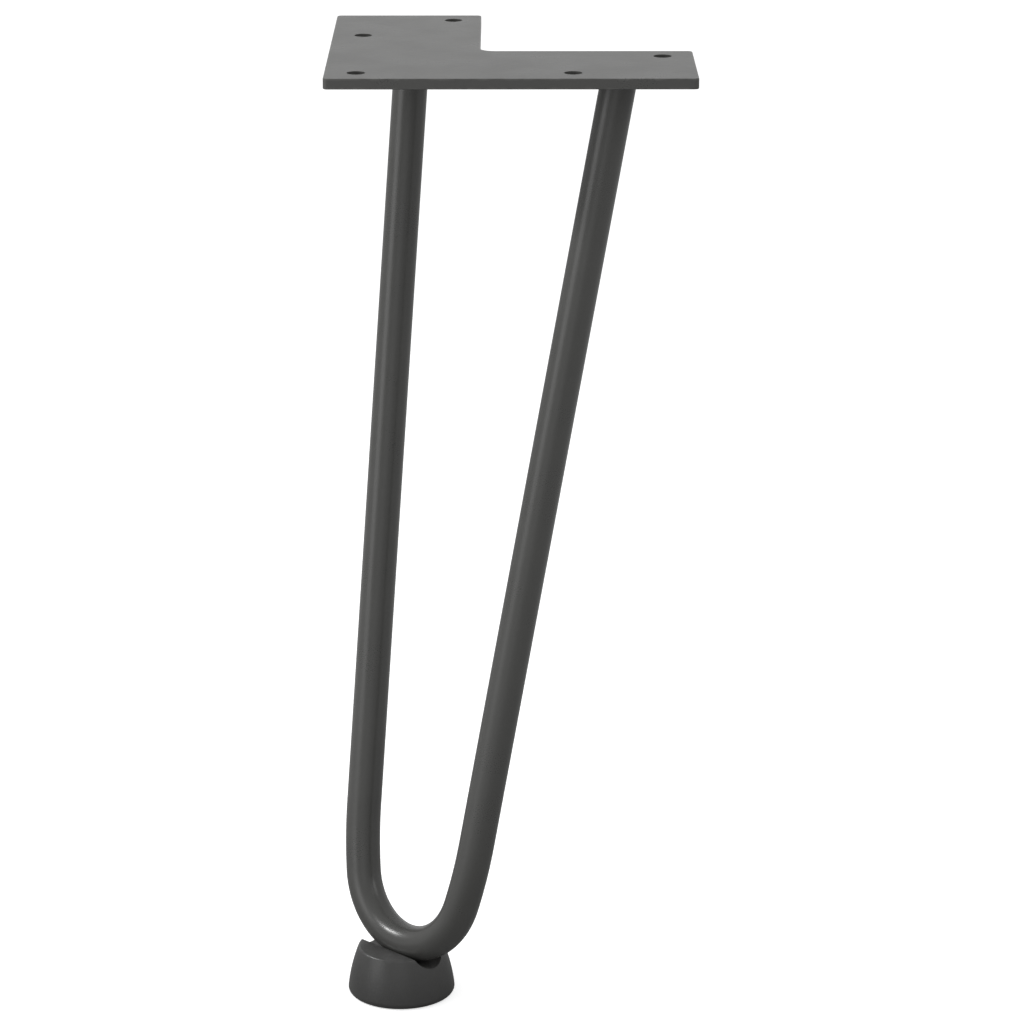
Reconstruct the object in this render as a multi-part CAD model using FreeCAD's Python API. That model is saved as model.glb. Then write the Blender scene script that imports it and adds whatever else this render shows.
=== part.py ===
import FreeCAD, Part
import math
import os

# Hairpin table leg: a round steel bar bent into a hairpin, welded by its two ends under
# an L-shaped mounting plate, with a moulded foot screwed to the bend from below.
#
# X runs right along the plate's side arm, Y runs back along its rear arm, Z points up.
# The origin lies on the plate's top face, in the middle of the corner square where the
# two arms meet. Lengths are in millimetres, angles in degrees.

# Overall
leg_height = 325.0

# Mounting plate
plate_side = 120.0
arm_width = 50.0
plate_thickness = 3.5
outer_corner_radius = 1.5
inner_corner_radius = 5.0
plate_edge_chamfer = 0.2
fixing_hole_diameter = 6.0
fixing_hole_inset = 10.3
fixing_hole_pitch = 69.7
end_hole_from_arm_end = 10.2
end_hole_from_inner_edge = 9.6

# Hairpin rod: one tight bend at the bottom between two shallow flank bends
rod_diameter = 12.0
rod_end_from_outer_edge = 26.8
rod_end_from_arm_end = 24.5
bend_from_outer_edges = 23.4
bend_radius = 25.0
flank_radius = 150.0
flank_angle = 9.0

# Weld bead round each rod end
weld_leg = 3.0
weld_run_out = 0.5

# Foot
foot_height = 17.0
foot_top_diameter = 29.2
foot_base_diameter = 37.2
foot_side_radius = 58.0
foot_side_lengths = 3
foot_side_margin = 0.3
foot_rim_chamfer = 0.5
foot_base_chamfer = 1.1
foot_slide_along_rod = 2.0
saddle_radius = 7.0
saddle_depth = 4.1

# Foot screw, and the holes that it passes through
screw_diameter = 4.0
screw_length = 16.0
screw_tip_chamfer = 0.5
screw_head_diameter = 7.6
screw_head_height = 2.2
screw_head_rim = 0.4
screw_face_diameter = 4.4
socket_width = 2.5
socket_depth = 1.5
counterbore_depth = 5.0
counterbore_clearance = 0.7
bore_clearance = 0.25
thread_clearance = 0.05
screw_tip_clearance = 1.0

# Levels that follow from the sizes above
rod_radius = rod_diameter / 2
plate_underside = -plate_thickness
floor_level = -leg_height
foot_top = floor_level + foot_height
saddle_bottom = foot_top - saddle_depth
bend_level = saddle_bottom + rod_radius
screw_seat = floor_level + counterbore_depth
screw_tip = screw_seat + screw_length

up = FreeCAD.Vector(0, 0, 1)


def plan_point(from_left, from_front, level):
    """A point given by its distances from the plate's two outer edges and its height."""
    half_square = arm_width / 2
    return FreeCAD.Vector(from_left - half_square, from_front - half_square, level)


# The hairpin's plane stands across the plate's diagonal and leans outwards, so that the
# two rods are mirror images. In it, "across" is measured towards the rear arm and "rise"
# up along the lean, both from the lowest point of the centreline.
rear_rod_end = plan_point(rod_end_from_outer_edge, plate_side - rod_end_from_arm_end, plate_underside)
side_rod_end = plan_point(plate_side - rod_end_from_arm_end, rod_end_from_outer_edge, plate_underside)
bend_bottom = plan_point(bend_from_outer_edges, bend_from_outer_edges, bend_level)
across_direction = (rear_rod_end - side_rod_end).normalize()
rise_direction = ((rear_rod_end + side_rod_end) / 2 - bend_bottom).normalize()
end_across = (rear_rod_end - bend_bottom).dot(across_direction)
end_rise = (rear_rod_end - bend_bottom).dot(rise_direction)
foot_centre = bend_bottom + across_direction * foot_slide_along_rod


def turned_at_straight():
    """The angle that the centreline has turned through where it leaves the flank bend.

    The straight run ends at the rod end and touches the flank bend, which itself touches
    the tight bend, so the angle comes from one right-angled triangle."""
    flank = math.radians(flank_angle)
    offset = bend_radius * math.cos(flank) + flank_radius * (1 - math.cos(flank))
    height = end_rise - bend_radius
    return math.atan2(height, end_across) + math.asin(offset / math.hypot(height, end_across))


straight_turn = turned_at_straight()
bend_turn = straight_turn - math.radians(flank_angle)


def bend_point(turn):
    """A point of the tight bend as (across, rise), after the given turn from the bottom."""
    return bend_radius * math.sin(turn), bend_radius * (1 - math.cos(turn))


def flank_point(turn):
    """A point of the flank bend, whose centre lies on the same radius as the tight bend's end."""
    step = flank_radius - bend_radius
    across = flank_radius * math.sin(turn) - step * math.sin(bend_turn)
    rise = bend_radius + step * math.cos(bend_turn) - flank_radius * math.cos(turn)
    return across, rise


def straight_direction(side):
    """The way a straight rod runs up: side is 1 for the rear arm's rod, -1 for the side arm's."""
    return across_direction * (side * math.cos(straight_turn)) + rise_direction * math.sin(straight_turn)


def leg_point(side, across_and_rise):
    across, rise = across_and_rise
    return bend_bottom + across_direction * (side * across) + rise_direction * rise


def arc_through(start, middle, end):
    return Part.Arc(start, middle, end).toShape()


def arc_centre(start, end, radius, outward):
    """The centre of the arc of the given radius from start to end that bulges outward."""
    half_chord = (end - start).Length / 2
    return (start + end) / 2 - outward * math.sqrt(radius ** 2 - half_chord ** 2)


def arc_about(centre, start, end):
    """The shorter arc about a centre, from start to end."""
    middle_direction = ((start + end) / 2 - centre).normalize()
    return arc_through(start, centre + middle_direction * (start - centre).Length, end)


def upright_cylinder(radius, centre, low, high):
    base = FreeCAD.Vector(centre.x, centre.y, low)
    return Part.makeCylinder(radius, high - low, base, up)


def revolved(outline, centre):
    """Turn a closed half outline, drawn in the XZ plane, about the upright line at centre."""
    face = Part.Face(Part.Wire(outline))
    face.translate(FreeCAD.Vector(centre.x, centre.y, 0))
    return face.revolve(FreeCAD.Vector(centre.x, centre.y, 0), up, 360)


def upright_edges(shape, corners):
    """The edges that stand on the given corners of the outline."""
    found = []
    for edge in shape.Edges:
        middle = edge.CenterOfMass
        stands = edge.BoundBox.ZLength > plate_thickness / 2
        if stands and any(math.hypot(middle.x - c.x, middle.y - c.y) < outer_corner_radius for c in corners):
            found.append(edge)
    return found


def level_edges(shape, level):
    """The edges that lie flat at the given height."""
    box_slack = 0.01
    found = []
    for edge in shape.Edges:
        box = edge.BoundBox
        if abs(box.ZMin - level) + box.ZLength < box_slack:
            found.append(edge)
    return found


def fixing_hole_centres():
    """One hole by the outer corner, one along each outer edge, one by each arm's inner edge."""
    near = fixing_hole_inset
    along = fixing_hole_inset + fixing_hole_pitch
    by_arm_end = plate_side - end_hole_from_arm_end
    by_inner_edge = arm_width - end_hole_from_inner_edge
    places = [(near, near), (along, near), (near, along)]
    places += [(by_arm_end, by_inner_edge), (by_inner_edge, by_arm_end)]
    return [plan_point(from_left, from_front, 0) for from_left, from_front in places]


def make_mounting_plate():
    """An L-shaped plate with five plain holes and lightly broken edges."""
    inner_corner = plan_point(arm_width, arm_width, plate_underside)
    outer_corners = [
        plan_point(0, 0, plate_underside),
        plan_point(plate_side, 0, plate_underside),
        plan_point(plate_side, arm_width, plate_underside),
        plan_point(arm_width, plate_side, plate_underside),
        plan_point(0, plate_side, plate_underside),
    ]
    outline = outer_corners[:3] + [inner_corner] + outer_corners[3:]
    plate = Part.Face(Part.makePolygon(outline + outline[:1])).extrude(up * plate_thickness)
    plate = plate.makeFillet(inner_corner_radius, upright_edges(plate, [inner_corner]))
    plate = plate.makeFillet(outer_corner_radius, upright_edges(plate, outer_corners))
    rims = level_edges(plate, plate_underside) + level_edges(plate, 0)
    plate = plate.makeChamfer(plate_edge_chamfer, rims)
    for centre in fixing_hole_centres():
        hole = upright_cylinder(fixing_hole_diameter / 2, centre, plate_underside * 2, plate_thickness)
        plate = plate.cut(hole)
    return plate


def hairpin_path():
    """The rod's centreline, from above the side arm's end round the bend to the rear arm's."""
    flank_middle = flank_point((straight_turn + bend_turn) / 2)
    edges = []
    for side in (-1, 1):
        bend_end = leg_point(side, bend_point(bend_turn))
        flank_end = leg_point(side, flank_point(straight_turn))
        top = leg_point(side, (end_across, end_rise)) + straight_direction(side) * rod_diameter
        flank_bend = arc_through(bend_end, leg_point(side, flank_middle), flank_end)
        edges.append([flank_bend, Part.makeLine(flank_end, top)])
    side_edges, rear_edges = edges
    tight_bend = arc_through(
        leg_point(-1, bend_point(bend_turn)),
        bend_bottom,
        leg_point(1, bend_point(bend_turn)),
    )
    return Part.Wire(side_edges[::-1] + [tight_bend] + rear_edges)


def above_plate():
    """All the space over the plate's underside, which cuts rods and welds off flush."""
    reach = 2 * plate_side
    return Part.makeBox(2 * reach, 2 * reach, reach, FreeCAD.Vector(-reach, -reach, plate_underside))


def make_hairpin_rod():
    """The bent rod, cut flush with the plate's underside, with a blind tapped hole in the bend."""
    start = leg_point(-1, (end_across, end_rise)) + straight_direction(-1) * rod_diameter
    section = Part.Wire(Part.makeCircle(rod_radius, start, straight_direction(-1)))
    rod = hairpin_path().makePipeShell([section], True, False)
    tapped_hole = upright_cylinder(
        screw_diameter / 2 + thread_clearance,
        foot_centre,
        floor_level,
        screw_tip + screw_tip_clearance,
    )
    return rod.cut(above_plate()).cut(tapped_hole)


def make_weld_bead(side, end, rod):
    """A fillet weld all round one rod end: a cone about the rod, cut off flush with the plate."""
    downward = straight_direction(side) * -1
    start = end - downward * weld_leg
    widest = rod_radius + 2 * weld_leg
    narrowest = rod_radius - weld_run_out
    cone = Part.makeCone(widest, narrowest, widest - narrowest, start, downward)
    return cone.cut(above_plate()).cut(rod)


def foot_side_points():
    """Points up the foot's curved side, from the chamfer at its base to the one at its rim.

    The side is one arc, drawn in several lengths to keep its mesh light: equal ones below the
    saddle, a short one round the level of the saddle's bottom and one above it."""
    base_edge = FreeCAD.Vector(foot_base_diameter / 2, 0, floor_level)
    top_edge = FreeCAD.Vector(foot_top_diameter / 2, 0, foot_top)
    outward = FreeCAD.Vector(foot_height, 0, base_edge.x - top_edge.x).normalize()
    centre = arc_centre(base_edge, top_edge, foot_side_radius, outward)
    lowest = floor_level + foot_base_chamfer
    step = (saddle_bottom - foot_side_margin - lowest) / foot_side_lengths
    heights = [lowest + count * step for count in range(foot_side_lengths + 1)]
    heights += [saddle_bottom + foot_side_margin, foot_top - foot_rim_chamfer]
    points = []
    for height in heights:
        across = centre.x + math.sqrt(foot_side_radius ** 2 - (height - centre.z) ** 2)
        points.append(FreeCAD.Vector(across, 0, height))
    return centre, points


def make_foot():
    """A tapered round foot with a straight saddle across its top and a screw hole below."""
    side_centre, side_points = foot_side_points()
    base_middle = FreeCAD.Vector(0, 0, floor_level)
    base_rim = FreeCAD.Vector(side_points[0].x - foot_base_chamfer, 0, floor_level)
    top_rim = FreeCAD.Vector(side_points[-1].x - foot_rim_chamfer, 0, foot_top)
    top_middle = FreeCAD.Vector(0, 0, foot_top)
    outline = [Part.makeLine(base_middle, base_rim), Part.makeLine(base_rim, side_points[0])]
    for lower, upper in zip(side_points[:-1], side_points[1:]):
        outline.append(arc_about(side_centre, lower, upper))
    outline.append(Part.makeLine(side_points[-1], top_rim))
    outline.append(Part.makeLine(top_rim, top_middle))
    outline.append(Part.makeLine(top_middle, base_middle))
    foot = revolved(outline, foot_centre)

    saddle_start = foot_centre - across_direction * foot_base_diameter
    saddle_start.z = saddle_bottom + saddle_radius
    saddle = Part.makeCylinder(saddle_radius, 2 * foot_base_diameter, saddle_start, across_direction)
    bore = upright_cylinder(screw_diameter / 2 + bore_clearance, foot_centre, floor_level, foot_top)
    counterbore_radius = screw_head_diameter / 2 + counterbore_clearance
    counterbore = upright_cylinder(counterbore_radius, foot_centre, floor_level, screw_seat)
    return foot.cut(saddle).cut(bore).cut(counterbore)


def hexagon_socket(level, depth):
    """A hexagonal hole, level below, up into the screw's head."""
    corner_radius = socket_width / math.sqrt(3)
    corners = []
    for step in range(7):
        turn = math.radians(60 * step)
        offset = FreeCAD.Vector(corner_radius * math.cos(turn), corner_radius * math.sin(turn), 0)
        corners.append(FreeCAD.Vector(foot_centre.x, foot_centre.y, level) + offset)
    return Part.Face(Part.makePolygon(corners)).extrude(up * depth)


def make_foot_screw():
    """A screw with a hexagon socket, up through the foot into the bend.

    Its head is part of a ball about the screw's axis, from the head's rim to its small flat face."""
    shank_radius = screw_diameter / 2
    head_radius = screw_head_diameter / 2
    face_radius = screw_face_diameter / 2
    face_level = screw_seat - screw_head_height
    rim_level = screw_seat - screw_head_rim
    tip_middle = FreeCAD.Vector(0, 0, screw_tip)
    tip_rim = FreeCAD.Vector(shank_radius - screw_tip_chamfer, 0, screw_tip)
    thread_top = FreeCAD.Vector(shank_radius, 0, screw_tip - screw_tip_chamfer)
    thread_root = FreeCAD.Vector(shank_radius, 0, screw_seat)
    head_seat = FreeCAD.Vector(head_radius, 0, screw_seat)
    head_rim = FreeCAD.Vector(head_radius, 0, rim_level)
    face_rim = FreeCAD.Vector(face_radius, 0, face_level)
    face_middle = FreeCAD.Vector(0, 0, face_level)
    rim_square = head_radius ** 2 + rim_level ** 2
    face_square = face_radius ** 2 + face_level ** 2
    dome_centre = FreeCAD.Vector(0, 0, (rim_square - face_square) / (2 * (rim_level - face_level)))
    outline = [
        Part.makeLine(tip_middle, tip_rim),
        Part.makeLine(tip_rim, thread_top),
        Part.makeLine(thread_top, thread_root),
        Part.makeLine(thread_root, head_seat),
        Part.makeLine(head_seat, head_rim),
        arc_about(dome_centre, head_rim, face_rim),
        Part.makeLine(face_rim, face_middle),
        Part.makeLine(face_middle, tip_middle),
    ]
    return revolved(outline, foot_centre).cut(hexagon_socket(face_level, socket_depth))


hairpin_rod = make_hairpin_rod()
pieces = {
    "mounting_plate": make_mounting_plate(),
    "hairpin_rod": hairpin_rod,
    "weld_bead_rear": make_weld_bead(1, rear_rod_end, hairpin_rod),
    "weld_bead_side": make_weld_bead(-1, side_rod_end, hairpin_rod),
    "foot": make_foot(),
    "foot_screw": make_foot_screw(),
}

os.makedirs("parts", exist_ok=True)
for node, shape in pieces.items():
    shape.exportStep("parts/" + node + ".step")
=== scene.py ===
import math

import bmesh
import bpy
from bpy.props import FloatProperty, FloatVectorProperty, IntProperty, PointerProperty
from mathutils import Matrix, Vector


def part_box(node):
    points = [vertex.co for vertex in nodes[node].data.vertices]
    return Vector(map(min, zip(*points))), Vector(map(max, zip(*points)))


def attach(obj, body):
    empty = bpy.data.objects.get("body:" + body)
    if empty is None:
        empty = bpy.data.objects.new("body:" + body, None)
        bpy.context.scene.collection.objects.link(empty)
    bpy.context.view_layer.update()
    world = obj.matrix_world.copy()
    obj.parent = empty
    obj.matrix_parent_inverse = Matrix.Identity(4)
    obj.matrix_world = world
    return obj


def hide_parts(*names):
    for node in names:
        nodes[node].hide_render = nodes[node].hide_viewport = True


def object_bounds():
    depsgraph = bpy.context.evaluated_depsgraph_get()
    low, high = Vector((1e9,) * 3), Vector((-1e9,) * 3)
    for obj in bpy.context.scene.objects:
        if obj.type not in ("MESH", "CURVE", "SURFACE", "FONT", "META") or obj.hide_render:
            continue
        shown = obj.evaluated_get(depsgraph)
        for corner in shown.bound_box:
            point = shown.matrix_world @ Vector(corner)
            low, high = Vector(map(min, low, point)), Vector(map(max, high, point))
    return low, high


bl_info = {
    "name": "Hairpin Table Leg",
    "version": (1, 0, 0),
    "blender": (4, 5, 0),
    "location": "3D View > Sidebar > Hairpin Leg",
    "description": "Finishes a coated hairpin table leg with its welds, foot and screw",
    "category": "Object",
}

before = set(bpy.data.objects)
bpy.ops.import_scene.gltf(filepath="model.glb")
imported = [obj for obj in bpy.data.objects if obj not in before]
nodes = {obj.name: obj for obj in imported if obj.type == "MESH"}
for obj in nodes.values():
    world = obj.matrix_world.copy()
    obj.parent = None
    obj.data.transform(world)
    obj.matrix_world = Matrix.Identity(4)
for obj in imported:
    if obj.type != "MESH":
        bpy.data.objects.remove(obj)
cad_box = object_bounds()
plate_low, plate_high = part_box("mounting_plate")
foot_low, foot_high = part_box("foot")
MM = 0.001
BODY = "root"

foot_axis = Vector(((foot_low.x + foot_high.x) / 2, (foot_low.y + foot_high.y) / 2, 0))

# Where the rod's centreline starts under each arm and where it is lowest, and the two directions of its plane
rear_rod_end = Vector((1.8, 70.5, -3.5)) * MM
side_rod_end = Vector((70.5, 1.8, -3.5)) * MM
bend_bottom = Vector((-1.6, -1.6, -306.1)) * MM
across = (rear_rod_end - side_rod_end).normalized()
rise = ((rear_rod_end + side_rod_end) / 2 - bend_bottom).normalized()

# How far the plate's inner edges lie from the middle of its corner square
inner_edge = 25 * MM

# Faces round the foot, and round the bar that cuts its groove
ROUND_SIDES = 160

# Nearly all values of a noise texture lie between these
NOISE_LOW, NOISE_HIGH = 0.3, 0.7

# The middle of the leg, which every light points at
leg_middle = Vector((0.02, 0.02, -0.16))

# Each light's name, place and size in metres. Its power is the setting of the same name.
LIGHTS = (
    ("left light", (-1.87, -1.07, 0.15), (1.1, 0.8)),
    ("high light", (-1.24, 0.02, 0.715), (0.55, 0.16)),
    ("right light", (1.44, -0.8, 0.99), (1.0, 1.0)),
    ("front light", (0.02, -2.1, 0.36), (1.2, 1.0)),
)


# Sizes, colours and light that a user would change


class LegSizes(bpy.types.PropertyGroup):
    """Sizes of the rod, the welds and the foot"""
    rod_diameter: FloatProperty(
        name="Rod diameter", description="Thickness of the bent bar", default=12 * MM, unit="LENGTH")
    bend_radius: FloatProperty(
        name="Tight bend", description="Centreline radius at the bottom", default=25 * MM, unit="LENGTH")
    flank_radius: FloatProperty(
        name="Flank bend", description="Centreline radius above the tight bend",
        default=150 * MM, unit="LENGTH")
    flank_angle: FloatProperty(
        name="Flank angle", description="How far each flank bend turns",
        default=math.radians(9), subtype="ANGLE")
    rod_sides: IntProperty(name="Sides round the rod", description="Faces round the bar", default=72)
    arc_steps: IntProperty(name="Steps in a bend", description="Faces along each bend", default=72)
    weld_leg: FloatProperty(
        name="Weld leg", description="How far the bead reaches along plate and rod",
        default=3 * MM, unit="LENGTH")
    ripple_pitch: FloatProperty(
        name="Ripple pitch", description="Distance between the bead's ripples",
        default=1.15 * MM, unit="LENGTH")
    ripple_height: FloatProperty(
        name="Ripple height", description="How proud each ripple stands", default=0.16 * MM, unit="LENGTH")
    foot_base_diameter: FloatProperty(
        name="Foot base", description="Diameter on the floor", default=37.2 * MM, unit="LENGTH")
    foot_top_diameter: FloatProperty(
        name="Foot top", description="Diameter of the flat top", default=29.5 * MM, unit="LENGTH")
    foot_side_radius: FloatProperty(
        name="Foot side", description="Radius of the bulging side", default=58 * MM, unit="LENGTH")
    foot_base_round: FloatProperty(
        name="Foot base round", description="Round between side and base", default=1.9 * MM, unit="LENGTH")
    foot_rim_round: FloatProperty(
        name="Foot rim round", description="Round between side and top", default=0.9 * MM, unit="LENGTH")
    saddle_radius: FloatProperty(
        name="Saddle radius", description="Radius of the groove for the rod", default=7.1 * MM, unit="LENGTH")
    saddle_depth: FloatProperty(
        name="Saddle depth", description="Depth of the groove for the rod", default=4.1 * MM, unit="LENGTH")
    bore_diameter: FloatProperty(
        name="Bore", description="Hole through the foot", default=4.5 * MM, unit="LENGTH")
    counterbore_diameter: FloatProperty(
        name="Counterbore", description="Recess for the screw's head", default=9 * MM, unit="LENGTH")
    counterbore_depth: FloatProperty(
        name="Counterbore depth", description="Depth of that recess", default=5 * MM, unit="LENGTH")


class LegFinish(bpy.types.PropertyGroup):
    """Colours and gloss of the coat, the foot and the screw"""
    coat_colour: FloatVectorProperty(
        name="Powder coat", description="Colour of plate, rod and welds",
        default=(0.062, 0.062, 0.059), subtype="COLOR", size=3, min=0, max=1)
    coat_roughness: FloatProperty(
        name="Coat roughness", description="0 is glossy and 1 is matt",
        default=0.30, subtype="FACTOR", min=0, max=1)
    foot_colour: FloatVectorProperty(
        name="Foot", description="Colour of the moulded foot",
        default=(0.045, 0.045, 0.044), subtype="COLOR", size=3, min=0, max=1)
    foot_roughness: FloatProperty(
        name="Foot roughness", description="0 is glossy and 1 is matt",
        default=0.34, subtype="FACTOR", min=0, max=1)
    screw_colour: FloatVectorProperty(
        name="Screw", description="Colour of the zinc plate",
        default=(0.62, 0.63, 0.65), subtype="COLOR", size=3, min=0, max=1)


class LegStudio(bpy.types.PropertyGroup):
    """Camera, lights and the brightness of floor and room"""
    camera_place: FloatVectorProperty(
        name="Camera", description="Where the camera stands", default=(0.032116, -1.256884, 0.228751),
        subtype="TRANSLATION", unit="LENGTH", size=3)
    camera_pitch: FloatProperty(
        name="Pitch", description="How far the camera looks down", default=0.2938, subtype="ANGLE")
    camera_yaw: FloatProperty(
        name="Yaw", description="How far the camera turns to the right", default=0.0026, subtype="ANGLE")
    lens: FloatProperty(name="Lens", description="Focal length in millimetres", default=137.66)
    room_level: FloatProperty(name="Room", description="Brightness of the room", default=0.585, min=0)
    floor_level: FloatProperty(
        name="Floor", description="Brightness that gloss mirrors from the floor", default=0.30, min=0)
    floor_left: FloatProperty(
        name="Floor left", description="The same, in the floor's left front part", default=0.85, min=0)
    left_light: FloatProperty(name="Left light", description="Power in watts", default=4.6, unit="POWER")
    high_light: FloatProperty(name="High light", description="Power in watts", default=11.5, unit="POWER")
    right_light: FloatProperty(name="Right light", description="Power in watts", default=6.8, unit="POWER")
    front_light: FloatProperty(name="Front light", description="Power in watts", default=1.3, unit="POWER")


# Helpers for node trees


class Tree:
    """Adds nodes to a tree and joins them. A value given for an input is either a socket or a constant."""

    def __init__(self, tree):
        self.tree = tree

    def add(self, kind, inputs=(), **settings):
        node = self.tree.nodes.new(kind)
        for key, value in settings.items():
            setattr(node, key, value)
        for key, value in dict(inputs).items():
            if isinstance(value, bpy.types.NodeSocket):
                self.tree.links.new(value, node.inputs[key])
            else:
                node.inputs[key].default_value = value
        return node

    def join(self, output, node, key):
        self.tree.links.new(output, node.inputs[key])

    def sum(self, operation, *values, clamp=False):
        """One Math node. Its inputs are numbered, because they share one name."""
        kind = "ShaderNodeMath"
        return self.add(kind, enumerate(values), operation=operation, use_clamp=clamp).outputs[0]

    def several(self, operation, *values):
        """The same two-input operation over many values, such as the smallest of four."""
        result = values[0]
        for value in values[1:]:
            result = self.sum(operation, result, value)
        return result

    def vector(self, operation, *values):
        return self.add("ShaderNodeVectorMath", enumerate(values), operation=operation).outputs[0]

    def scaled(self, vector, factor):
        """A vector or colour times a factor that changes from place to place."""
        return self.add("ShaderNodeVectorMath", {0: vector, "Scale": factor}, operation="SCALE").outputs[0]

    def parts(self, vector):
        return self.add("ShaderNodeSeparateXYZ", {0: vector}).outputs

    def distance_from_foot_axis(self, place):
        away = self.vector("MULTIPLY", self.vector("SUBTRACT", place, tuple(foot_axis)), (1.0, 1.0, 0.0))
        return self.add("ShaderNodeVectorMath", {0: away}, operation="LENGTH").outputs["Value"]

    def bumped(self, height, distance):
        """A normal that follows a height, in shares of a distance."""
        inputs = {"Height": height, "Distance": distance, "Strength": 1.0}
        return self.add("ShaderNodeBump", inputs).outputs["Normal"]

    def ramp(self, value, low, high, to_low=0.0, to_high=1.0, smooth=True):
        """A value between low and high is mapped to one between to_low and to_high."""
        inputs = {"Value": value, "From Min": low, "From Max": high, "To Min": to_low, "To Max": to_high}
        kind = "SMOOTHSTEP" if smooth else "LINEAR"
        return self.add("ShaderNodeMapRange", inputs, interpolation_type=kind).outputs["Result"]


def new_group(name, kind, takes, gives):
    """An empty node group with named inputs (name, type, default) and outputs (name, type)."""
    tree = bpy.data.node_groups.new(name, kind)
    for label, socket_type, default in takes:
        socket = tree.interface.new_socket(label, in_out="INPUT", socket_type=socket_type)
        if default is not None:
            socket.default_value = default
    for label, socket_type in gives:
        tree.interface.new_socket(label, in_out="OUTPUT", socket_type=socket_type)
    made = Tree(tree)
    return made, made.add("NodeGroupInput"), made.add("NodeGroupOutput")


# Effects that several finishes share


def orange_peel_group():
    """The shallow waves and fine grit of a baked powder coat, as a height and a tone from -1 to 1."""
    takes = [
        ("Place", "NodeSocketVector", None),
        ("Wave size", "NodeSocketFloat", 2 * MM),
        ("Grit size", "NodeSocketFloat", 0.4 * MM),
        ("Grit share", "NodeSocketFloat", 0.25),
    ]
    gives = [("Height", "NodeSocketFloat"), ("Tone", "NodeSocketFloat")]
    group, given, out = new_group("Orange peel", "ShaderNodeTree", takes, gives)
    patches_per_metre = 45.0
    patch_tone, grit_tone = 0.6, 0.4
    wave_scale = group.sum("DIVIDE", 1.0, given.outputs["Wave size"])
    grit_scale = group.sum("DIVIDE", 1.0, given.outputs["Grit size"])
    noises = []
    layers = ((wave_scale, 1.0, 0.4), (grit_scale, 2.0, 0.6), (patches_per_metre, 3.0, 0.55))
    for scale, detail, rough in layers:
        inputs = {"Vector": given.outputs["Place"], "Scale": scale, "Detail": detail, "Roughness": rough}
        noises.append(group.add("ShaderNodeTexNoise", inputs).outputs["Fac"])
    waves, grit, patches = noises
    gritty = group.sum("MULTIPLY", grit, given.outputs["Grit share"])
    group.join(group.sum("ADD", waves, gritty), out, "Height")
    broad = group.ramp(patches, NOISE_LOW, NOISE_HIGH, -patch_tone, patch_tone)
    fine = group.ramp(grit, NOISE_LOW, NOISE_HIGH, -grit_tone, grit_tone)
    group.join(group.sum("ADD", broad, fine), out, "Tone")
    return group.tree


def edge_wear_and_highlight_group():
    """A broken lighter line along an edge, from the distance to that edge: worn coat on the plate, and partly
    a painted highlight on the foot's rim.
    """
    takes = [
        ("Place", "NodeSocketVector", None),
        ("Distance", "NodeSocketFloat", 1.0),
        ("Width", "NodeSocketFloat", 0.5 * MM),
        ("Patch size", "NodeSocketFloat", 4 * MM),
    ]
    group, given, out = new_group("Edge wear", "ShaderNodeTree", takes, [("Mask", "NodeSocketFloat")])
    narrowest, widest, faintest = 0.4, 1.5, 0.35
    margin = 0.05
    scale = group.sum("DIVIDE", 1.0, given.outputs["Patch size"])
    inputs = {"Vector": given.outputs["Place"], "Scale": scale, "Detail": 4.0}
    noise = group.add("ShaderNodeTexNoise", inputs).outputs["Fac"]
    swell = group.ramp(noise, NOISE_LOW, NOISE_HIGH, narrowest, widest)
    width = group.sum("MULTIPLY", given.outputs["Width"], swell)
    near = group.sum("SUBTRACT", 1.0, group.sum("DIVIDE", given.outputs["Distance"], width), clamp=True)
    strength = group.ramp(noise, NOISE_LOW + margin, NOISE_HIGH - margin, faintest, 1.0)
    group.join(group.sum("MULTIPLY", near, strength), out, "Mask")
    return group.tree


made_groups = {}


def shared(maker):
    """The node group that a function makes, built once."""
    if maker not in made_groups:
        made_groups[maker] = maker()
    return made_groups[maker]


# Materials


def new_material(name):
    """A material with one shader joined to its output, and the place on the surface."""
    material = bpy.data.materials.new(name)
    material.use_nodes = True
    material.node_tree.nodes.clear()
    tree = Tree(material.node_tree)
    shader = tree.add("ShaderNodeBsdfPrincipled")
    tree.output = tree.add("ShaderNodeOutputMaterial", {"Surface": shader.outputs["BSDF"]})
    place = tree.add("ShaderNodeTexCoord").outputs["Object"]
    return material, tree, shader, place


def orange_peel(tree, place, sizes=()):
    """The outputs of the orange peel group, with its own sizes where they are given."""
    inputs = {"Place": place, **dict(sizes)}
    return tree.add("ShaderNodeGroup", inputs, node_tree=shared(orange_peel_group)).outputs


def varied(tree, level, tone, share):
    """A level that goes up and down with the tone, by a share of it."""
    return tree.sum("MULTIPLY_ADD", tone, share, level)


def worn_and_highlit_colour(tree, colour, full_colour, inputs, lighter, strength):
    """A colour that is lighter along an edge, where the coat is worn and, on the foot, where a highlight is
    painted. The inputs are the edge wear and highlight group's.
    """
    edge_band = tree.add("ShaderNodeGroup", inputs, node_tree=shared(edge_wear_and_highlight_group))
    lighter_colour = [min(1, lighter * channel) for channel in full_colour] + [1]
    share = tree.sum("MULTIPLY", edge_band.outputs["Mask"], strength)
    mix = tree.add("ShaderNodeMix", {"Factor": share, "A": colour, "B": lighter_colour}, data_type="RGBA")
    return mix.outputs["Result"]


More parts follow.
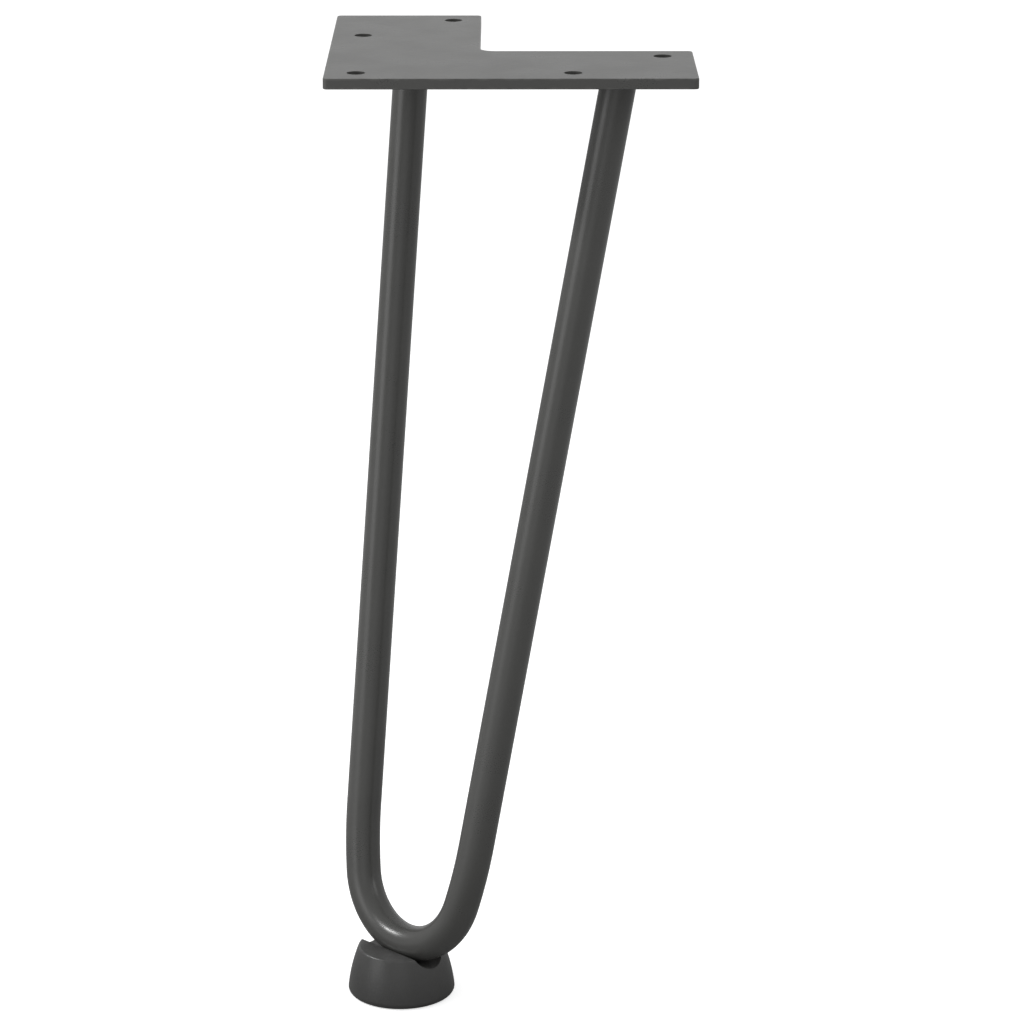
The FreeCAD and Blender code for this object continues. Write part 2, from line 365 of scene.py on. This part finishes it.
def plate_edge_distance(tree, place):
    """Distance from the L-shaped plate's nearest edge, over its faces and over its narrow sides."""
    parts = tree.parts(place)
    beyond_left = tree.sum("SUBTRACT", parts["X"], plate_low.x)
    beyond_front = tree.sum("SUBTRACT", parts["Y"], plate_low.y)
    arms = []
    for right, back in ((plate_high.x, inner_edge), (inner_edge, plate_high.y)):
        to_right = tree.sum("SUBTRACT", right, parts["X"])
        to_back = tree.sum("SUBTRACT", back, parts["Y"])
        arms.append(tree.several("MINIMUM", beyond_left, beyond_front, to_right, to_back))
    in_plan = tree.sum("MAXIMUM", *arms)
    below_top = tree.sum("SUBTRACT", plate_high.z, parts["Z"])
    above_bottom = tree.sum("SUBTRACT", parts["Z"], plate_low.z)
    return tree.sum("MAXIMUM", in_plan, tree.sum("MINIMUM", below_top, above_bottom))


def coat_material(name, finish, bump, edge_distance=None):
    """Satin powder coat: shallow orange peel, faint patches and, on the plate, thinner coat at the edges."""
    material, tree, shader, place = new_material(name)
    skin = orange_peel(tree, place)
    colour = tree.scaled(tuple(finish.coat_colour), varied(tree, 1.0, skin["Tone"], share=0.07))
    if edge_distance:
        wear = {"Place": place, "Distance": edge_distance(tree, place), "Width": 0.6 * MM}
        colour = worn_and_highlit_colour(tree, colour, finish.coat_colour, wear, lighter=2.4, strength=0.5)
    tree.join(colour, shader, "Base Color")
    tree.join(varied(tree, finish.coat_roughness, skin["Tone"], share=0.035), shader, "Roughness")
    tree.join(tree.bumped(skin["Height"], bump), shader, "Normal")
    return material


def foot_material(finish):
    """Matt moulded plastic with the fine grain of its mould, and a lighter top face and rim band that is
    partly rubbed wear and partly a painted highlight of the rim.
    """
    material, tree, shader, place = new_material("moulded foot")
    skin = orange_peel(tree, place, {"Wave size": 0.9 * MM, "Grit size": 0.22 * MM, "Grit share": 0.8})
    colour = tree.scaled(tuple(finish.foot_colour), varied(tree, 1.0, skin["Tone"], share=0.09))
    # Painted highlight: the top face and a band about 0.9 mm down from it are made lighter, partly as rubbed
    # wear and partly standing in for the light line along the rim's round.
    below_rim = tree.sum("ABSOLUTE", tree.sum("SUBTRACT", foot_high.z, tree.parts(place)["Z"]))
    wear = {"Place": place, "Distance": below_rim, "Width": 0.9 * MM, "Patch size": 3 * MM}
    rubbed_and_highlit = worn_and_highlit_colour(tree, colour, finish.foot_colour, wear, lighter=2.0, strength=0.42)
    tree.join(rubbed_and_highlit, shader, "Base Color")
    tree.join(varied(tree, finish.foot_roughness, skin["Tone"], share=0.05), shader, "Roughness")
    tree.join(tree.bumped(skin["Height"], distance=0.03 * MM), shader, "Normal")
    return material


def screw_material(finish):
    """Bright zinc plate with the fine rings that turning leaves round the screw's axis."""
    material, tree, shader, place = new_material("zinc plate")
    shader.inputs["Metallic"].default_value = 1.0
    ring_pitch, tone_share, screw_roughness = 0.12 * MM, 0.08, 0.3
    skin = orange_peel(tree, place, {"Wave size": 0.8 * MM, "Grit size": 0.15 * MM})
    reach = tree.distance_from_foot_axis(place)
    rings = tree.sum("SINE", tree.sum("MULTIPLY", reach, 2 * math.pi / ring_pitch))
    colour = tree.scaled(tuple(finish.screw_colour), varied(tree, 1.0, skin["Tone"], tone_share))
    tree.join(colour, shader, "Base Color")
    tree.join(varied(tree, screw_roughness, skin["Tone"], tone_share), shader, "Roughness")
    height = varied(tree, skin["Height"], rings, share=0.15)
    tree.join(tree.bumped(height, distance=0.008 * MM), shader, "Normal")
    return material


# Helpers for meshes


def line_mesh(name, points, closed=False, values=None):
    """A mesh of points joined in a line, with an optional named value on each point."""
    mesh = bpy.data.meshes.new(name)
    edges = [(i, i + 1) for i in range(len(points) - 1)]
    if closed:
        edges.append((len(points) - 1, 0))
    mesh.from_pydata(points, edges, [])
    if values:
        label, numbers = values
        mesh.attributes.new(label, "FLOAT", "POINT").data.foreach_set("value", numbers)
    return mesh


def finished_mesh(name, shape):
    """Turns a bmesh into a mesh and frees it."""
    mesh = bpy.data.meshes.new(name)
    shape.to_mesh(mesh)
    shape.free()
    return mesh


def linked(name, data):
    """An object in the scene that holds a mesh, a light or a camera."""
    made = bpy.data.objects.new(name, data)
    bpy.context.scene.collection.objects.link(made)
    return made


def evaluated_mesh(piece, name):
    """The plain mesh that a piece has once its modifiers have run."""
    graph = bpy.context.evaluated_depsgraph_get()
    mesh = bpy.data.meshes.new_from_object(piece.evaluated_get(graph), depsgraph=graph)
    mesh.name = name
    return mesh


def run_tree(name, mesh, tree, inputs):
    """Gives a mesh to a Geometry Nodes tree and keeps the result as a plain mesh."""
    piece = linked(name, mesh)
    modifier = piece.modifiers.new("nodes", "NODES")
    modifier.node_group = tree
    sockets = {item.name: item.identifier for item in tree.interface.items_tree if item.in_out == "INPUT"}
    for label, value in inputs.items():
        modifier[sockets[label]] = value
    result = evaluated_mesh(piece, name)
    piece.modifiers.clear()
    piece.data = result
    if not result.polygons:
        raise RuntimeError(name + " came out without faces")
    return piece


def shade(mesh, angle):
    """Smooth shading, apart from edges that are sharper than an angle."""
    mesh.polygons.foreach_set("use_smooth", [True] * len(mesh.polygons))
    mesh.set_sharp_from_angle(angle=angle)


def keep(piece, slot, *replaced):
    """Makes a finished piece part of the leg, in place of the named solids."""
    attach(piece, BODY)
    if replaced:
        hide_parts(*replaced)


# The hairpin rod


def corner_of(a, towards_a, b, towards_b):
    """Where two tangents in the hairpin's plane meet, as (across, rise)."""
    cross = towards_a[0] * towards_b[1] - towards_a[1] * towards_b[0]
    gap = (b[0] - a[0], b[1] - a[1])
    step = (gap[0] * towards_b[1] - gap[1] * towards_b[0]) / cross
    return a[0] + towards_a[0] * step, a[1] + towards_a[1] * step


def hairpin_corners(sizes):
    """The corners of the centreline before it is rounded, with the radius that belongs to each."""
    tight, flank, angle = sizes.bend_radius, sizes.flank_radius, sizes.flank_angle
    end = ((rear_rod_end - bend_bottom).dot(across), (rear_rod_end - bend_bottom).dot(rise))
    height = end[1] - tight
    offset = tight * math.cos(angle) + flank * (1 - math.cos(angle))
    straight_turn = math.atan2(height, end[0]) + math.asin(offset / math.hypot(height, end[0]))
    bend_turn = straight_turn - angle
    bend_end = (tight * math.sin(bend_turn), tight * (1 - math.cos(bend_turn)))
    bend_way = (math.cos(bend_turn), math.sin(bend_turn))
    straight_way = (math.cos(straight_turn), math.sin(straight_turn))
    flank_corner = corner_of(bend_end, bend_way, end, straight_way)
    lowest = (0.0, bend_end[1] - bend_end[0] * bend_way[1] / bend_way[0])
    into_plate = 2 * MM
    rod_end = (end[0] + straight_way[0] * into_plate, end[1] + straight_way[1] * into_plate)
    half = [rod_end, flank_corner]
    line = [(-a, r) for a, r in half] + [lowest] + half[::-1]
    points = [bend_bottom + across * a + rise * r for a, r in line]
    return points, [0.0, flank, tight, flank, 0.0]


def rod_tree():
    """Rounds a cornered line and sweeps a round bar along it."""
    takes = [
        ("Geometry", "NodeSocketGeometry", None),
        ("Diameter", "NodeSocketFloat", 12 * MM),
        ("Sides", "NodeSocketInt", 64),
        ("Steps in a bend", "NodeSocketInt", 64),
        ("Material", "NodeSocketMaterial", None),
    ]
    group, given, out = new_group("Bent rod", "GeometryNodeTree", takes, [("Geometry", "NodeSocketGeometry")])
    line = group.add("GeometryNodeMeshToCurve", {"Mesh": given.outputs["Geometry"]})
    radius = group.add("GeometryNodeInputNamedAttribute", {"Name": "corner_radius"}, data_type="FLOAT")
    inputs = {
        "Curve": line.outputs[0],
        "Count": given.outputs["Steps in a bend"],
        "Radius": radius.outputs["Attribute"],
        "Limit Radius": False,
    }
    bends = group.add("GeometryNodeFilletCurve", inputs, mode="POLY")
    points = group.add("GeometryNodeCurveToMesh", {"Curve": bends.outputs[0]})
    doubled = 0.02 * MM
    single = group.add("GeometryNodeMergeByDistance", {"Geometry": points.outputs[0], "Distance": doubled})
    path = group.add("GeometryNodeMeshToCurve", {"Mesh": single.outputs[0]})
    section = group.add("GeometryNodeCurvePrimitiveCircle", {"Resolution": given.outputs["Sides"]})
    group.join(group.sum("DIVIDE", given.outputs["Diameter"], 2.0), section, "Radius")
    swept = group.add("GeometryNodeCurveToMesh", {"Curve": path.outputs[0], "Fill Caps": True})
    group.join(section.outputs["Curve"], swept, "Profile Curve")
    end_tree(group, swept.outputs["Mesh"], given, out)
    return group.tree


def end_tree(group, geometry, given, out):
    """Ends a tree with one real mesh in the given material."""
    real = group.add("GeometryNodeRealizeInstances", {"Geometry": geometry})
    inputs = {"Geometry": real.outputs[0], "Material": given.outputs["Material"]}
    group.join(group.add("GeometryNodeSetMaterial", inputs).outputs[0], out, "Geometry")


# The weld beads


def bead_profile(sizes):
    """The bead's section: x outwards from the rod, y down from the plate. Its root lies in the metal.

    "face" runs from 0 at the plate to 1 at the rod, and "swell" is greatest in the face's middle."""
    leg = sizes.weld_leg
    bulge = 0.13 * leg
    steps = 22
    points, face, swell = [], [], []
    for step in range(steps + 1):
        share = step / steps
        rise_here = bulge * math.sin(math.pi * share)
        points.append((leg * (1 - share) + rise_here, leg * share + rise_here, 0))
        face.append(share)
        swell.append(math.sin(math.pi * share))
    root = 0.4 * leg
    points = [(leg, -root, 0)] + points + [(-root, leg, 0), (-root, -root, 0)]
    mesh = line_mesh("bead profile", points, closed=True, values=("face", [0.0] + face + [1.0, 0.5]))
    mesh.attributes.new("swell", "FLOAT", "POINT").data.foreach_set("value", [0.0] + swell + [0.0, 0.0])
    return linked("bead profile", mesh)


def weld_tree():
    """Sweeps a bead's section round the rod and presses a row of curved ripples into its face."""
    takes = [
        ("Geometry", "NodeSocketGeometry", None),
        ("Profile", "NodeSocketObject", None),
        ("Underside", "NodeSocketFloat", 0.0),
        ("Lean", "NodeSocketVector", None),
        ("Ripple pitch", "NodeSocketFloat", 1.2 * MM),
        ("Ripple height", "NodeSocketFloat", 0.15 * MM),
        ("Wander", "NodeSocketFloat", 0.3 * MM),
        ("Seed", "NodeSocketFloat", 0.0),
        ("Material", "NodeSocketMaterial", None),
    ]
    ripple_bow, ripple_drift, ripple_middle = 2.6, 1.1, 0.6
    drifts_per_metre = 230.0
    labels = ("along", "face", "swell")
    gives = [("Geometry", "NodeSocketGeometry")]
    group, given, out = new_group("Weld bead", "GeometryNodeTree", takes, gives)
    ring = group.add("GeometryNodeMeshToCurve", {"Mesh": given.outputs["Geometry"]})
    upright = group.add("GeometryNodeSetCurveNormal", {"Curve": ring.outputs[0]}, mode="Z_UP")
    length = group.add("GeometryNodeSplineParameter").outputs["Length"]
    stored = {"Geometry": upright.outputs[0], "Name": "along", "Value": length}
    measured = group.add("GeometryNodeStoreNamedAttribute", stored)
    section = group.add("GeometryNodeObjectInfo", {"Object": given.outputs["Profile"]})
    section = group.add("GeometryNodeMeshToCurve", {"Mesh": section.outputs["Geometry"]})
    curves = {"Curve": measured.outputs[0], "Profile Curve": section.outputs[0]}
    bead = group.add("GeometryNodeCurveToMesh", curves)
    read = {}
    for label in labels:
        stored = group.add("GeometryNodeInputNamedAttribute", {"Name": label}, data_type="FLOAT")
        read[label] = stored.outputs["Attribute"]
    place = group.add("GeometryNodeInputPosition").outputs[0]
    noise_place = {"Vector": place, "W": given.outputs["Seed"], "Scale": drifts_per_metre, "Detail": 1.0}
    uneven = group.add("ShaderNodeTexNoise", noise_place, noise_dimensions="4D")
    drift = group.sum("SUBTRACT", uneven.outputs["Fac"], 0.5)
    middle = group.sum("SUBTRACT", read["face"], 0.5)
    bow = group.sum("MULTIPLY", group.sum("MULTIPLY", middle, middle), ripple_bow)
    count = group.sum("DIVIDE", read["along"], given.outputs["Ripple pitch"])
    phase = group.several("ADD", count, bow, group.sum("MULTIPLY", drift, ripple_drift))
    scallop = group.sum("ABSOLUTE", group.sum("SINE", group.sum("MULTIPLY", phase, math.pi)))
    proud = group.sum("SUBTRACT", scallop, ripple_middle)
    ripple = group.sum("MULTIPLY", proud, given.outputs["Ripple height"])
    wander = group.sum("MULTIPLY", drift, given.outputs["Wander"])
    lift = group.sum("MULTIPLY", group.sum("ADD", ripple, wander), read["swell"])
    outward = group.scaled(group.add("GeometryNodeInputNormal").outputs[0], lift)
    depth = group.sum("SUBTRACT", given.outputs["Underside"], group.parts(place)["Z"])
    offset = group.vector("ADD", outward, group.scaled(given.outputs["Lean"], depth))
    moved = group.add("GeometryNodeSetPosition", {"Geometry": bead.outputs[0], "Offset": offset})
    geometry = moved.outputs[0]
    for label in labels:
        geometry = group.add("GeometryNodeRemoveAttribute", {"Geometry": geometry, "Name": label}).outputs[0]
    end_tree(group, geometry, given, out)
    return group.tree


def rod_way(side, sizes):
    """The way the straight rod runs up: side is 1 for the rear arm's rod, -1 for the side arm's."""
    points = hairpin_corners(sizes)[0]
    top, below = (points[-1], points[-2]) if side > 0 else (points[0], points[1])
    return (top - below).normalized()


def weld_ring(end, way, sizes, steps):
    """The outline where a leaning round rod meets the plate's underside, as a closed line."""
    along_lean = Vector((way.x, way.y, 0)).normalized()
    square = Vector((-along_lean.y, along_lean.x, 0))
    radius = sizes.rod_diameter / 2
    points = []
    for step in range(steps):
        turn = 2 * math.pi * step / steps
        lengthwise = along_lean * (radius / way.z * math.cos(turn))
        points.append(end + lengthwise + square * (radius * math.sin(turn)))
    return points


# The foot


def side_arc(sizes, steps):
    """Points (reach, height) down the foot's bulging side, from its top face to its base."""
    top = Vector((sizes.foot_top_diameter / 2, foot_high.z))
    base = Vector((sizes.foot_base_diameter / 2, foot_low.z))
    chord = base - top
    outward = Vector((-chord.y, chord.x)).normalized()
    radius = sizes.foot_side_radius
    centre = (top + base) / 2 - outward * math.sqrt(radius ** 2 - (chord.length / 2) ** 2)
    points = []
    for step in range(steps + 1):
        height = top.y + (base.y - top.y) * step / steps
        points.append(Vector((centre.x + math.sqrt(radius ** 2 - (height - centre.y) ** 2), height)))
    return points


def rounded(points, radii, steps):
    """A closed outline whose corners are rounded, each by its own radius."""
    result = []
    for index, (point, radius) in enumerate(zip(points, radii)):
        if not radius:
            result.append(point)
            continue
        before = (points[index - 1] - point).normalized()
        after = (points[(index + 1) % len(points)] - point).normalized()
        half = before.angle(after) / 2
        centre = point + (before + after).normalized() * (radius / math.sin(half))
        start = point + before * (radius / math.tan(half)) - centre
        end = point + after * (radius / math.tan(half)) - centre
        sweep = start.angle(end)
        for step in range(steps + 1):
            share = step / steps
            arm = start * math.sin((1 - share) * sweep) + end * math.sin(share * sweep)
            result.append(centre + arm / math.sin(sweep))
    return result


def foot_outline(sizes):
    """The closed outline (reach, height) that the foot is turned from, with its corners rounded."""
    side_steps, corner_steps = 24, 8
    side = side_arc(sizes, side_steps)
    bore = sizes.bore_diameter / 2
    recess = sizes.counterbore_diameter / 2
    seat = foot_low.z + sizes.counterbore_depth
    inner = ((recess, foot_low.z), (recess, seat), (bore, seat), (bore, foot_high.z))
    points = side + [Vector(corner) for corner in inner]
    soft = 0.3 * MM
    radii = [sizes.foot_rim_round] + [0.0] * (len(side) - 2) + [sizes.foot_base_round, soft, soft, soft, 0.0]
    # The side's own points stay clear of its two rounded ends
    lowest = foot_low.z + sizes.foot_base_round
    highest = foot_high.z - sizes.foot_base_round / 2
    kept = []
    for index, (point, radius) in enumerate(zip(points, radii)):
        if radius or index >= len(side) or lowest < point.y < highest:
            kept.append((point, radius))
    return rounded(*zip(*kept), corner_steps)


def turned(name, outline, axis, steps):
    """Turns a closed outline of (reach, height) about the upright line at axis."""
    shape = bmesh.new()
    rings = []
    for reach, height in outline:
        ring = []
        for step in range(steps):
            turn = 2 * math.pi * step / steps
            x, y = axis.x + reach * math.cos(turn), axis.y + reach * math.sin(turn)
            ring.append(shape.verts.new((x, y, height)))
        rings.append(ring)
    for ring, following in zip(rings, rings[1:] + rings[:1]):
        for step in range(steps):
            after = (step + 1) % steps
            shape.faces.new((ring[step], following[step], following[after], ring[after]))
    bmesh.ops.recalc_face_normals(shape, faces=shape.faces)
    return finished_mesh(name, shape)


def level_bar(name, middle, way, radius, length, sides):
    """A round bar that lies level, to cut a groove with."""
    shape = bmesh.new()
    place = Matrix.Translation(middle) @ way.to_track_quat("Z", "Y").to_matrix().to_4x4()
    bmesh.ops.create_cone(
        shape, cap_ends=True, segments=sides, radius1=radius, radius2=radius, depth=length, matrix=place)
    return linked(name, finished_mesh(name, shape))


# Operators, one for each piece or group of like pieces and one for the stage


def dress(mesh, material):
    """Gives a mesh one material in place of what it had."""
    mesh.materials.clear()
    mesh.materials.append(material)


class HAIRPIN_OT_coat_plate(bpy.types.Operator):
    """Give the mounting plate its powder coat, thinner along its edges"""
    bl_idname = "hairpin.coat_plate"
    bl_label = "Coat the plate"

    def execute(self, context):
        finish = context.scene.leg_finish
        coat = coat_material("powder coat, plate", finish, bump=0.03 * MM, edge_distance=plate_edge_distance)
        dress(nodes["mounting_plate"].data, coat)
        return {"FINISHED"}


class HAIRPIN_OT_bend_rod(bpy.types.Operator):
    """Bend the rod into its hairpin and coat it"""
    bl_idname = "hairpin.bend_rod"
    bl_label = "Bend the rod"

    def execute(self, context):
        sizes = context.scene.leg_sizes
        points, radii = hairpin_corners(sizes)
        inputs = {
            "Diameter": sizes.rod_diameter,
            "Sides": sizes.rod_sides,
            "Steps in a bend": sizes.arc_steps,
            "Material": coat_material("powder coat, rod", context.scene.leg_finish, bump=0.02 * MM),
        }
        line = line_mesh("hairpin line", points, values=("corner_radius", radii))
        rod = run_tree("bent_rod", line, rod_tree(), inputs)
        shade(rod.data, math.radians(40))
        keep(rod, "coated_steel", "hairpin_rod")
        return {"FINISHED"}


class HAIRPIN_OT_lay_welds(bpy.types.Operator):
    """Lay a rippled weld bead round each rod end"""
    bl_idname = "hairpin.lay_welds"
    bl_label = "Lay the welds"

    def execute(self, context):
        sizes = context.scene.leg_sizes
        material = coat_material("powder coat, welds", context.scene.leg_finish, bump=0.06 * MM)
        tree = weld_tree()
        profile = bead_profile(sizes)
        steps_round_rod = 300
        welds = (("weld_bead_rear", 1, rear_rod_end, 0.0), ("weld_bead_side", -1, side_rod_end, 7.0))
        for node, side, end, seed in welds:
            way = rod_way(side, sizes)
            ring = line_mesh(node, weld_ring(end, way, sizes, steps_round_rod), closed=True)
            inputs = {
                "Profile": profile,
                "Underside": plate_low.z,
                "Lean": (-way.x / way.z, -way.y / way.z, 0.0),
                "Ripple pitch": sizes.ripple_pitch,
                "Ripple height": sizes.ripple_height,
                "Seed": seed,
                "Material": material,
            }
            bead = run_tree(node + "_rippled", ring, tree, inputs)
            shade(bead.data, math.radians(60))
            keep(bead, "coated_steel", node)
        bpy.data.objects.remove(profile)
        return {"FINISHED"}


class HAIRPIN_OT_mould_foot(bpy.types.Operator):
    """Mould the foot with its saddle and screw hole"""
    bl_idname = "hairpin.mould_foot"
    bl_label = "Mould the foot"

    def execute(self, context):
        sizes = context.scene.leg_sizes
        foot = linked("moulded_foot", turned("moulded_foot", foot_outline(sizes), foot_axis, ROUND_SIDES))
        middle = foot_axis + Vector((0, 0, foot_high.z - sizes.saddle_depth + sizes.saddle_radius))
        length = 3 * sizes.foot_base_diameter
        bar = level_bar("saddle cutter", middle, across, sizes.saddle_radius, length, ROUND_SIDES)
        cut = foot.modifiers.new("saddle", "BOOLEAN")
        cut.operation = "DIFFERENCE"
        cut.solver = "EXACT"
        cut.object = bar
        result = evaluated_mesh(foot, "moulded_foot")
        foot.modifiers.clear()
        foot.data = result
        bpy.data.objects.remove(bar)
        dress(result, foot_material(context.scene.leg_finish))
        shade(result, math.radians(35))
        keep(foot, "moulded_foot", "foot")
        return {"FINISHED"}


class HAIRPIN_OT_plate_screw(bpy.types.Operator):
    """Give the foot's screw its zinc plate"""
    bl_idname = "hairpin.plate_screw"
    bl_label = "Plate the screw"

    def execute(self, context):
        dress(nodes["foot_screw"].data, screw_material(context.scene.leg_finish))
        return {"FINISHED"}


class HAIRPIN_OT_set_stage(bpy.types.Operator):
    """Put up the pale floor, the white room, the lights and the camera"""
    bl_idname = "hairpin.set_stage"
    bl_label = "Set the stage"

    def execute(self, context):
        studio = context.scene.leg_studio
        clear_share = 0.43
        make_floor(studio, clear_share * context.scene.leg_sizes.foot_base_diameter)
        make_room(studio)
        for name, place, size in LIGHTS:
            area_light(name, place, size, getattr(studio, name.replace(" ", "_")))
        make_camera(studio)
        context.scene.view_settings.view_transform = "Standard"
        return {"FINISHED"}


def mirrored(tree, rays):
    """1 for the rays that gloss or glass sends on."""
    return tree.sum("MAXIMUM", rays["Is Glossy Ray"], rays["Is Transmission Ray"])


def make_floor(studio, foot_reach):
    """A round pale floor: white to the camera, with the leg's shadow.

    It is clear from below and, as far as foot_reach, under the foot. What gloss mirrors from it is brighter
    in its left front part and fades towards the foot, where the leg's shadow lies."""
    floor_radius, left_front_reach = 6.0, 0.4
    fade_start, fade_end = 0.05, 0.5
    tone_to_leg, tone_to_camera, glow_to_camera = 0.3, 0.8, 0.6
    shape = bmesh.new()
    level_with_foot = Matrix.Translation((0, 0, cad_box[0].z))
    bmesh.ops.create_circle(shape, cap_ends=True, radius=floor_radius, segments=96, matrix=level_with_foot)
    floor = linked("floor", finished_mesh("floor", shape))
    material, tree, shader, place = new_material("pale floor")
    rays = tree.add("ShaderNodeLightPath").outputs
    pale = tree.ramp(rays["Is Camera Ray"], 0.0, 1.0, tone_to_leg, tone_to_camera)
    tree.join(tree.add("ShaderNodeCombineXYZ", {0: pale, 1: pale, 2: pale}).outputs[0], shader, "Base Color")
    shader.inputs["Roughness"].default_value = 0.9
    shader.inputs["Specular IOR Level"].default_value = 0.0
    reach = tree.distance_from_foot_axis(place)
    spot = tree.parts(place)
    left, front = (tree.ramp(spot[axis], left_front_reach, -left_front_reach) for axis in "XY")
    left_front = tree.sum("MULTIPLY", left, front)
    level = tree.ramp(left_front, 0.0, 1.0, studio.floor_level, studio.floor_left, smooth=False)
    past_shadow = tree.sum("MULTIPLY", level, tree.ramp(reach, fade_start, fade_end))
    seen = tree.sum("MULTIPLY", rays["Is Camera Ray"], glow_to_camera)
    shader.inputs["Emission Color"].default_value = (1, 1, 1, 1)
    glow = tree.sum("MAXIMUM", seen, tree.sum("MULTIPLY", mirrored(tree, rays), past_shadow))
    tree.join(glow, shader, "Emission Strength")
    clear = tree.add("ShaderNodeBsdfTransparent")
    below = tree.add("ShaderNodeNewGeometry").outputs["Backfacing"]
    under_foot = tree.sum("LESS_THAN", reach, foot_reach)
    mix = tree.add("ShaderNodeMixShader", {0: tree.sum("MAXIMUM", below, under_foot), 2: clear.outputs[0]})
    tree.join(shader.outputs[0], mix, 1)
    tree.join(mix.outputs[0], tree.output, "Surface")
    floor.data.materials.append(material)


def make_room(studio):
    """White behind everything for the camera and in low mirror images of the back, and a plain pale room."""
    world = bpy.data.worlds.new("room")
    bpy.context.scene.world = world
    world.use_nodes = True
    world.node_tree.nodes.clear()
    tree = Tree(world.node_tree)
    way = tree.parts(tree.add("ShaderNodeTexCoord").outputs["Generated"])
    rays = tree.add("ShaderNodeLightPath").outputs
    back_start, back_full = 0.8, 0.95
    high_end, low_full = 0.22, 0.06
    back, low = tree.ramp(way["Y"], back_start, back_full), tree.ramp(way["Z"], high_end, low_full)
    backdrop = tree.sum("MULTIPLY", back, low)
    seen = tree.sum("MAXIMUM", rays["Is Camera Ray"], tree.sum("MULTIPLY", mirrored(tree, rays), backdrop))
    levels = {"Factor": seen, "A": studio.room_level, "B": 1.0}
    strength = tree.add("ShaderNodeMix", levels, data_type="FLOAT").outputs["Result"]
    light = tree.add("ShaderNodeBackground", {"Color": (1, 1, 1, 1), "Strength": strength})
    tree.add("ShaderNodeOutputWorld", {"Surface": light.outputs[0]})


def area_light(name, place, size, power):
    """A rectangular light that points at the leg."""
    data = bpy.data.lights.new(name, "AREA")
    data.shape = "RECTANGLE"
    data.size, data.size_y = size
    data.energy = power
    lamp = linked(name, data)
    lamp.location = place
    lamp.rotation_euler = (leg_middle - lamp.location).to_track_quat("-Z", "Y").to_euler()


def make_camera(studio):
    """The camera that looks down at the leg from the front."""
    data = bpy.data.cameras.new("camera")
    data.lens = studio.lens
    data.sensor_width = 36.0
    data.clip_end = 50.0
    camera = linked("camera", data)
    camera.location = studio.camera_place
    camera.rotation_euler = (math.pi / 2 - studio.camera_pitch, 0, -studio.camera_yaw)
    bpy.context.scene.camera = camera


class HAIRPIN_PT_panel(bpy.types.Panel):
    """Lists the steps and their settings in the 3D view's sidebar"""
    bl_label = "Hairpin Leg"
    bl_idname = "HAIRPIN_PT_panel"
    bl_space_type = "VIEW_3D"
    bl_region_type = "UI"
    bl_category = "Hairpin Leg"

    def draw(self, context):
        for step in STEPS:
            self.layout.operator(step.bl_idname)
        for group in (context.scene.leg_sizes, context.scene.leg_finish, context.scene.leg_studio):
            box = self.layout.box()
            for name in group.__annotations__:
                box.prop(group, name)


STEPS = (
    HAIRPIN_OT_set_stage,
    HAIRPIN_OT_coat_plate,
    HAIRPIN_OT_bend_rod,
    HAIRPIN_OT_lay_welds,
    HAIRPIN_OT_mould_foot,
    HAIRPIN_OT_plate_screw,
)
GROUPS = {"leg_sizes": LegSizes, "leg_finish": LegFinish, "leg_studio": LegStudio}


def register():
    for kind in (*GROUPS.values(), *STEPS, HAIRPIN_PT_panel):
        bpy.utils.register_class(kind)
    for name, kind in GROUPS.items():
        setattr(bpy.types.Scene, name, PointerProperty(type=kind))


def unregister():
    for name in GROUPS:
        delattr(bpy.types.Scene, name)
    for kind in (HAIRPIN_PT_panel, *reversed(STEPS), *reversed(GROUPS.values())):
        bpy.utils.unregister_class(kind)


def main():
    register()
    for step in STEPS:
        group, name = step.bl_idname.split(".")
        getattr(getattr(bpy.ops, group), name)()


if __name__ == "__main__":
    main()
